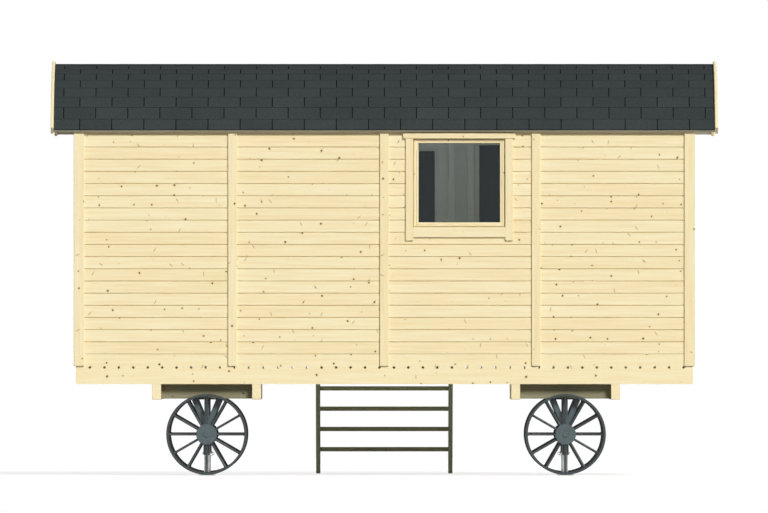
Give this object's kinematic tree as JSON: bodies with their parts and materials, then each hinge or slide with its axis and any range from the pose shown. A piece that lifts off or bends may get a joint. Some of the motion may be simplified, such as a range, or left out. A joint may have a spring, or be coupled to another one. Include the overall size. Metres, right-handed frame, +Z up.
{
  "type": "shepherds hut",
  "caption": "Timber shepherd's hut with an arched shingle roof, a side window, a glazed double door with stairs, spoked steel wheels and jack legs.",
  "frame": {"origin": "on the ground, in the middle of the footprint with the stairs", "axes": "+X along the hut, +Y from the window side to the door side, +Z up"},
  "size_m": [5.732, 3.5856, 3.5748],
  "materials": {
    "spruce_boards": "planed bare spruce boards",
    "spruce_beams": "planed bare spruce beams",
    "spruce_trim": "planed bare spruce trim",
    "spruce_joinery": "planed spruce joinery",
    "floor_timber": "planed spruce boards",
    "treated_timber": "impregnated brown-green pine",
    "roof_shingle": "mineral-faced bitumen shingle",
    "window_glass": "clear sheet glass",
    "wheel_steel": "satin grey painted steel",
    "leg_steel": "satin grey painted steel",
    "zinc_steel": "zinc-plated steel"
  },
  "bodies": {
    "cabin": {"sill_front": "spruce_beams", "sill_back": "spruce_beams", "sill_ends": "spruce_beams", "floor_joists": "floor_timber", "floor_deck": "floor_timber", "front_wall_left": "spruce_boards", "front_wall_window_bay": "spruce_boards", "front_wall_right": "spruce_boards", "back_wall_left": "spruce_boards", "back_wall_right": "spruce_boards", "back_wall_over_door": "spruce_boards", "left_end_wall": "spruce_boards", "right_end_wall": "spruce_boards", "corner_boards": "spruce_trim", "cover_battens": "spruce_trim", "roof_deck": "floor_timber", "roof_covering": "roof_shingle", "barge_board_left": "spruce_trim", "barge_board_right": "spruce_trim", "front_window_casing": "spruce_trim", "front_window_sash": "spruce_joinery", "front_window_pane": "window_glass", "back_window_casings": "spruce_trim", "back_window_sashes": "spruce_joinery", "back_window_panes": "window_glass", "door_frame": "spruce_joinery", "door_casing": "spruce_trim", "hinge_pins": "zinc_steel", "cross_beams": "spruce_beams", "chassis_rails": "treated_timber", "leg_frames": "leg_steel", "leg_feet": "zinc_steel", "stair_stringers": "treated_timber", "stair_treads": "treated_timber"},
    "door_left": {"door_leaf_left": "spruce_joinery", "door_pane_left": "window_glass", "hinge_straps_left": "zinc_steel"},
    "door_right": {"door_leaf_right": "spruce_joinery", "door_pane_right": "window_glass", "hinge_straps_right": "zinc_steel", "door_handle": "zinc_steel"},
    "wheel_front_left": {"wheel_front_left": "wheel_steel"},
    "wheel_front_right": {"wheel_front_right": "wheel_steel"},
    "wheel_back_left": {"wheel_back_left": "wheel_steel"},
    "wheel_back_right": {"wheel_back_right": "wheel_steel"}
  },
  "joints": [
    {"name": "door_left_swing", "type": "hinge", "parent": "cabin", "child": "door_left", "pos_m": [-0.5555, 0.65284, 1.981], "axis": [0, 0, 1], "range_deg": [0, 110]},
    {"name": "door_right_swing", "type": "hinge", "parent": "cabin", "child": "door_right", "pos_m": [0.5555, 0.65284, 1.981], "axis": [0, 0, -1], "range_deg": [0, 110]},
    {"name": "wheel_front_left_turn", "type": "hinge", "parent": "cabin", "child": "wheel_front_left", "pos_m": [-1.527, -1.65216, 0.353], "axis": [0, 1, 0], "continuous": true},
    {"name": "wheel_front_right_turn", "type": "hinge", "parent": "cabin", "child": "wheel_front_right", "pos_m": [1.557, -1.65216, 0.353], "axis": [0, 1, 0], "continuous": true},
    {"name": "wheel_back_left_turn", "type": "hinge", "parent": "cabin", "child": "wheel_back_left", "pos_m": [-1.527, 0.58784, 0.353], "axis": [0, 1, 0], "continuous": true},
    {"name": "wheel_back_right_turn", "type": "hinge", "parent": "cabin", "child": "wheel_back_right", "pos_m": [1.557, 0.58784, 0.353], "axis": [0, 1, 0], "continuous": true}
  ]
}
